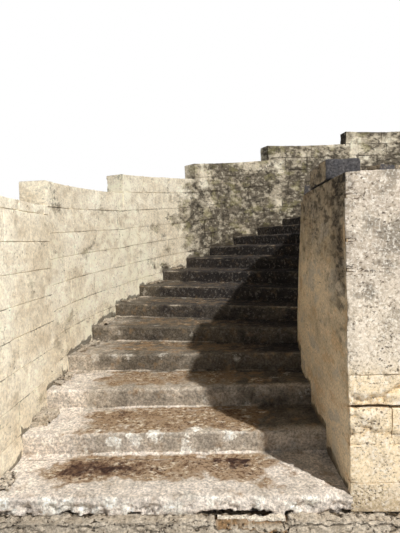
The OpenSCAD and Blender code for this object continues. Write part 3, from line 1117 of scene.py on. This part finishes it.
def outer_joints(rank):
    """Joints of a course on the middle line. Courses of one rank follow each other from
    tier to tier; rank k is the top course of tier k."""
    spread = OUTER_R / MID_R
    first = 0.0 if rank < 2 else TIER_STARTS[rank - 1]
    face_start = first if first < RUN else RUN + (first - RUN) * spread
    shift = OUTER_SHIFT * (rank % 2)
    face_end = RUN + (STAIR_LEN - RUN) * spread
    joints = jittered(face_start + shift, face_end, *OUTER_BLOCK_LEN, 720 + rank)
    joints = [face_start] * (shift > 0) + joints
    joints = np.array([u if u < RUN else RUN + (u - RUN) / spread for u in joints])
    for edge in TIER_STARTS:
        joints[abs(joints - edge) < SHORTEST_END] = edge
    return np.unique(joints)


def outer_marks(solid, joint, shade):
    """Where the outer wall is darker, grown over, pale or dirty, with painted shade in the growth on its far
    tiers and painted sunlight in the pale on its near ones. joint is the distance from the nearest joint."""
    points, s = solid.points, solid.s
    wide = cloud(points, 0.7, 3, 71)
    shaded_far = ease(s, *SHADED_FROM)
    near = 1 - ease(s, *SUNNY_TO)
    low = ease(0.8 - above_nosings(s, solid.z), 0, 0.7)
    ends = sum(hump(s, edge + 0.16, 0.16) for edge in TIER_STARTS[2:5])
    # More growth far up, partly painted shade; less near the foot of the stair, partly painted sunlight.
    growth = 0.05 + 0.52 * shaded_far + 0.22 * wide + (0.20 - 0.10 * near) * low - 0.30 * ends
    growth = growth + 0.14 * ease(s, 4.9, 5.4) - 0.08 * near
    growth = growth * (1 - 0.45 * ease(-HALF_W - solid.x, 0.14, 0.22))
    # Paler at block ends and in streaks, and on the near tiers painted sunlight.
    pale = 0.26 + 0.26 * ends - 0.16 * shaded_far - 0.25 * wide + 0.16 * near * ease(s, 1.0, 1.6)
    pale += 0.16 * hump(s, 2.9, 0.6)
    seam = hump(joint, 0, 0.008) * (0.4 + 0.6 * ease(cloud(points, 0.25, 3, 75), -0.3, 0.4))
    dirt = (0.52 + 0.45 * shaded_far) * seam + 0.7 * foot_dirt(solid, 74)
    return {"tone": shade, "growth": np.clip(growth, 0, 1), "bloom": np.clip(pale, 0, 1),
            "cavity": np.clip(dirt, 0, 1)}


def outer_course(heap, k, course, below):
    """One course of single blocks of the outer wall's tier k, on the bed below."""
    start, end = stretch(k, 0.0)
    rank, highest = k - course if k else 1 - course, course == 0
    joints = outer_joints(rank)
    above = outer_level(k, course)
    cuts = np.concatenate([[start], joints[(joints > start) & (joints < end)], [end]])
    for a, b in pairwise(cuts):
        real = [np.isclose(joints, edge).any() or (highest and k == 0) for edge in (a, b)]
        gap_a, gap_b = [OUTER_GAP / 2 * (r and edge not in (0.0, STAIR_LEN)) for r, edge in zip(real, (a, b))]
        draw = np.random.default_rng(900 + 31 * (rank + 20) + np.searchsorted(joints, (a + b) / 2))
        radius = draw.uniform(0.002, 0.005)
        upper = radius + 0.008 * highest
        exposed = highest or b == STAIR_LEN or a == 0.0
        seen = above_nosings(a, above(OUTER_FACE, a)) > -0.05
        gap = (OUTER_MESH if k < 3 else OUTER_MESH_FAR) if seen else HIDDEN_MESH
        face = draw.uniform(0, OUTER_SPREAD)
        block = bar((OUTER_BACK + face, OUTER_FACE - face), (a + gap_a, b - gap_b),
                    lambda x, s: below(x, s) + OUTER_GAP, above, (0.035 if exposed else 0.13, gap, gap),
                    ((upper, upper), [radius if r else SHARP for r in real], (radius, upper)),
                    2 if gap == OUTER_MESH or highest else 1, face=0, open_top=highest)
        worn, _ = wear(block, OUTER_LUMP, OUTER_GRAIN, 0.004 + 0.012 * highest, 70)
        x, s, z = block.x, block.s, block.z
        beds = np.minimum(z - below(x, s), above(x, s) - z + highest)
        sides = [abs(s - edge) + (not r) for r, edge in zip(real, (a, b))]
        marks = outer_marks(block, np.minimum(beds, np.minimum(*sides)), draw.uniform(0, 1))
        heap.add(sunk(block, worn), block.faces, **marks)


def make_outer_wall(k):
    """Tier k of the outer wall, as courses of single blocks on a mortar fill."""
    node = wall_node("outer", k)
    start, end = stretch(k, 0.0)
    ground = 0.0 if k else FOOTING_H
    blocks = Heap()
    course = 0
    while outer_level(k, course)(OUTER_FACE, start) > ground + 0.04:
        below = outer_level(k, course + 1)
        if below(OUTER_FACE, start) < ground + 0.05:
            below = level(ground - OUTER_GAP)
        outer_course(blocks, k, course, below)
        course += 1
    blocks.piece(f"{node}_blocks", OUTER_STONE, "outer_wall_stone", node)

    mortar = Heap()
    top, inset = outer_level(k, 0), 0.012
    fill = bar((OUTER_BACK + inset, OUTER_FACE - inset), (start + inset, end - inset), level(ground),
               lambda x, s: top(x, s) - inset, (0.11, 0.07, 0.07), 0.002, 1, face=0)
    mortar.add(sunk(fill, lumps(fill.points, OUTER_LUMP, 70)), fill.faces, **outer_marks(fill, 1.0, 0.6))
    mortar.piece(f"{node}_mortar", OUTER_STONE, "mortar", node)


# Footing, core and loose stones
FOOTING_MESH = (0.009, 0.014, 0.008)
FLAT_STONE = (0.297, 0.674)
FLAT_STONE_FRONT = -0.044
FLAT_STONE_BED = 0.088
SLOT_DEPTH = 0.030
FOOTING_CHIPS = 0.022
RUBBLE_SIZE = 0.048
RUBBLE_GRAIN = 0.004
RUBBLE_CHIPS = 0.014
CORE_BED_H = (0.12, 0.19)
CORE_STONE_W = (0.15, 0.34)
CORE_STONE_T = 0.14
CORE_JOINT = 0.010
CORE_WANDER = 0.022
EDGE_STONE_SIZES = ((0.03, 0.11), (0.03, 0.10), (0.012, 0.032))
EDGE_STONE_SKEW = 0.014


def stone(heap, x, s, z_low, z_high, gaps, radius, seed, lump, **marks):
    """One rough stone, in a heap of them."""
    solid = bar(x, s, z_low, z_high, gaps, radius)
    worn, chips = wear(solid, lump, RUBBLE_GRAIN, RUBBLE_CHIPS, seed % 40)
    shades = {"tone": np.random.default_rng(seed).uniform(0, 1), "cavity": 0.4 * chips} | marks
    heap.add(sunk(solid, worn), solid.faces, **shades)


def rubble_face(points):
    """Rough stones set in mortar: how deep the face lies, its shade and how dark it is."""
    around = points + 0.012 * clouds(points, 0.05, 2, 82)
    near, following, owner = scattered(around * (0.8, 0.8, 1.3), RUBBLE_SIZE, 82)
    joint = 1 - ease(following - near, 0.02, 0.26)
    open_joint = joint * ease(cloud(points, 0.16, 2, 85), -0.25, 0.35)
    gravel = ease(cloud(points, 0.022, 2, 86), -0.3, 0.9)
    depth = 0.005 * owner + 0.008 * near ** 2 + 0.010 * open_joint + 0.009 * gravel
    return depth, 0.2 + 0.4 * owner, 0.55 * open_joint


def make_footing():
    """The footing: rough stones in mortar, with one long flat stone under the first step."""
    left, right = OUTER_BACK, HALF_W + FRONT_LEN
    heap = Heap()
    for span, gaps in (((-FOOTING_OUT, 0.03), FOOTING_MESH), ((0.02, FRONT_T), 0.05)):
        solid = bar((left, right), span, level(0.0), level(FOOTING_H), gaps, 0.003, 1)
        x, y, z = solid.points.T
        depth, shade, dark = rubble_face(solid.points)
        broken = ease(cloud(solid.points, 0.11, 3, 86), -0.25, 0.55) * close_to(solid.to_edge, 0.025)
        slot = ease(x, FLAT_STONE[0] - 0.014, FLAT_STONE[0] - 0.004) * ease(z, 0.07, 0.09)
        slot = slot * ease(FLAT_STONE[1] + 0.014 - x, 0, 0.010)
        edge = slot * close_to(y - FLAT_STONE_FRONT, 0.012)
        # The slot above the flat stone is painted darker, and darkest along the flat stone's edge: painted
        # shade in the recess and its crease.
        heap.add(sunk(solid, depth + FOOTING_CHIPS * broken + SLOT_DEPTH * slot), solid.faces,
                 tone=np.clip(shade + 0.1 + 0.8 * slot, 0, 1.4), cavity=np.clip(dark + edge, 0, 1))
    stone(heap, FLAT_STONE, (FLAT_STONE_FRONT, 0.0), level(FLAT_STONE_BED), level(FOOTING_H),
          0.010, 0.005, 7, 0.003, tone=-0.3)
    heap.piece("footing_stones", RUBBLE, "rubble", "footing")


def core_bed(z, side):
    """The face of a joint in the core's masonry at level z, above it or, for -1, below it."""
    wander = CORE_WANDER * ease(z, 0, 0.2) * ease(tread_z(STEPS - 1) - z, 0, 0.2)
    return lambda x, s: z + side * CORE_JOINT / 2 + wander * np.sin(4.5 * x + 40 * z)


def make_core_end():
    """The last bay of the core, with the rubble masonry of its end at the upper exit."""
    fill, stones = Heap(), Heap()
    for n, start in ((STEPS - 1, nosing(STEPS - 1) + BEARING), (STEPS, nosing(STEPS))):
        mass = bar((-HALF_W, HALF_W), (start, STAIR_LEN - 0.024), level(0.0), level(tread_z(n - 1) - 0.001),
                   0.15, 0.001, 1)
        fill.add(mass.points, mass.faces, tone=0.35, cavity=0.1)
    fill.piece("core_end_fill", MORTAR, "mortar", "rubble_core_6")

    draw = np.random.default_rng(8)
    beds = jittered(0.0, tread_z(STEPS - 1), *CORE_BED_H, 9)
    for row, (low, high) in enumerate(pairwise(beds)):
        joints = jittered(-HALF_W, HALF_W, *CORE_STONE_W, 20 + row)
        for i, (a, b) in enumerate(pairwise(joints)):
            stone(stones, (a + CORE_JOINT / 2, b - CORE_JOINT / 2),
                  (STAIR_LEN - CORE_STONE_T, STAIR_LEN - 0.004 - draw.uniform(0, 0.008)),
                  core_bed(low, 1), core_bed(high, -1), (0.04, CORE_STONE_T, 0.04), 0.018,
                  2000 + 20 * row + i, 0.014)
    stones.piece("core_end_stones", RUBBLE, "rubble", "rubble_core_6")


def make_edge_stones():
    """Broken stone and mortar that has gathered on the treads, along the outer wall."""
    draw = np.random.default_rng(17)
    heap = Heap()
    lying = [((-HALF_W - 0.01, -0.88), (0.645, 0.835), 2, 0.060)]
    for n in range(1, 9):
        for _ in range(5 if n <= NEAR_STEPS else 3):
            length, width, height = [draw.uniform(*span) for span in EDGE_STONE_SIZES]
            s = nosing(n) + draw.uniform(0.06, TREAD_D - length)
            x = -HALF_W + draw.uniform(-0.01, 0.05) * (draw.uniform() < 0.6)
            lying.append(((x - 0.01, x + width), (s, s + length), n, height))
    for i, (x, s, n, height) in enumerate(lying):
        radius = min(height, x[1] - x[0], s[1] - s[0]) * 0.35
        # Darker up the stair, as the steps are: partly grime, partly painted shade.
        tone = np.interp(n, [1, 4, 8], [0.1, 0.4, 0.9]) + draw.uniform(-0.1, 0.2)
        stone(heap, x, s, level(tread_z(n) - 0.008), level(tread_z(n) + height), 0.015, radius,
              3000 + i, 0.008, tone=tone, cavity=0.15)
    heap.points = [points + EDGE_STONE_SKEW * clouds(points, 0.04, 1, 83) for points in heap.points]
    heap.piece("edge_stones", RUBBLE, "rubble")


for number in range(1, STEPS + 1):
    make_step(number)
make_fillets()
make_front_wall()
for tier in range(TIERS + 1):
    make_inner_wall(tier)
    make_outer_wall(tier)
make_end_block()
make_footing()
make_core_end()
make_edge_stones()
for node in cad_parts.values():
    if not node.hide_render:
        node.data.materials.clear()
        node.data.materials.append(RUBBLE)


# Stage
STAGE_MIDDLE = (1.7, 2.8, 0.0)
STAGE_FADE = (4.2, 9.0)
FLOOR_RADIUS = 60
WALL_LIGHT = 0.34
CEILING_LIGHT = 0.10
SHADE_COLOUR = (0.85, 0.96, 1.15, 1)
WHITE = (1, 1, 1, 1)


def make_floor():
    """A pale floor that fades to white far away."""
    g = Surface("floor", 0.9)
    shader = g.tree.nodes["Principled BSDF"]
    shader.inputs["Base Color"].default_value = rgb(236, 234, 230)
    away = g.node("VectorMath", "Value", {0: g.place, 1: STAGE_MIDDLE}, operation="DISTANCE")
    share = g.ease(away, *STAGE_FADE) * g.node("LightPath", "Is Camera Ray", {})
    white = g.node("Emission", 0, {"Strength": 1.0})
    both = g.node("MixShader", 0, {0: share, 1: Value(g, shader.outputs[0]), 2: white})
    g.join(both, "Material Output", "Surface")
    bpy.ops.mesh.primitive_circle_add(vertices=96, radius=FLOOR_RADIUS, fill_type="NGON")
    floor = bpy.context.object
    floor.name = "floor"
    floor.data.materials.append(g.material)


def make_room():
    """The light of a pale room, darker above. The camera sees it white."""
    bpy.context.scene.world = bpy.data.worlds.new("room")
    g = Graph(bpy.context.scene.world)
    seen = g.node("LightPath", "Is Camera Ray", {})
    up = g.node("SeparateXYZ", "Z", {"Vector": g.node("TexCoord", "Generated", {})})
    light = g.ranged(up, 0.1, 0.7, WALL_LIGHT, CEILING_LIGHT)
    g.join(g.mix(seen, SHADE_COLOUR, WHITE), "Background", "Color")
    g.join(g.ranged(seen, 0.0, 1.0, light, 1.0), "Background", "Strength")


# Lamp
KEY_FROM = Vector((0.45, -0.583, 0.676))
KEY_AT = Vector((0.4, 1.6, 1.0))
KEY_FAR = 11.0
KEY_SIZE = 0.25
KEY_POWER = 1400.0


def make_light():
    """One lamp, high on the right in front of the stair, far off and small as the sun is."""
    lamp = bpy.data.lights.new("key", "AREA")
    lamp.shape = "DISK"
    lamp.size = KEY_SIZE
    lamp.energy = KEY_POWER
    key = bpy.data.objects.new("key", lamp)
    key.location = KEY_AT + KEY_FROM.normalized() * KEY_FAR
    key.rotation_euler = KEY_FROM.to_track_quat("Z", "Y").to_euler()
    bpy.context.scene.collection.objects.link(key)


# Camera, where the photograph was taken from
EYE = Vector((0.344, -2.248, 1.625))
TURNED_LEFT = 0.0412
TILTED_DOWN = 0.0572
ROLLED = -0.0352
FOCAL_SHARE = 416.8 / 533
SENSOR = 36.0


def make_camera():
    """The camera, with the photograph's view along the tall side of its picture."""
    data = bpy.data.cameras.new("camera")
    data.sensor_width = SENSOR
    data.lens = FOCAL_SHARE * SENSOR
    camera = bpy.data.objects.new("camera", data)
    turn = Matrix.Rotation(TURNED_LEFT, 4, "Z") @ Matrix.Rotation(math.pi / 2 - TILTED_DOWN, 4, "X")
    camera.matrix_world = Matrix.Translation(EYE) @ turn @ Matrix.Rotation(ROLLED, 4, "Z")
    bpy.context.scene.collection.objects.link(camera)
    bpy.context.scene.camera = camera


make_floor()
make_room()
make_light()
make_camera()
bpy.context.scene.view_settings.view_transform = "Standard"
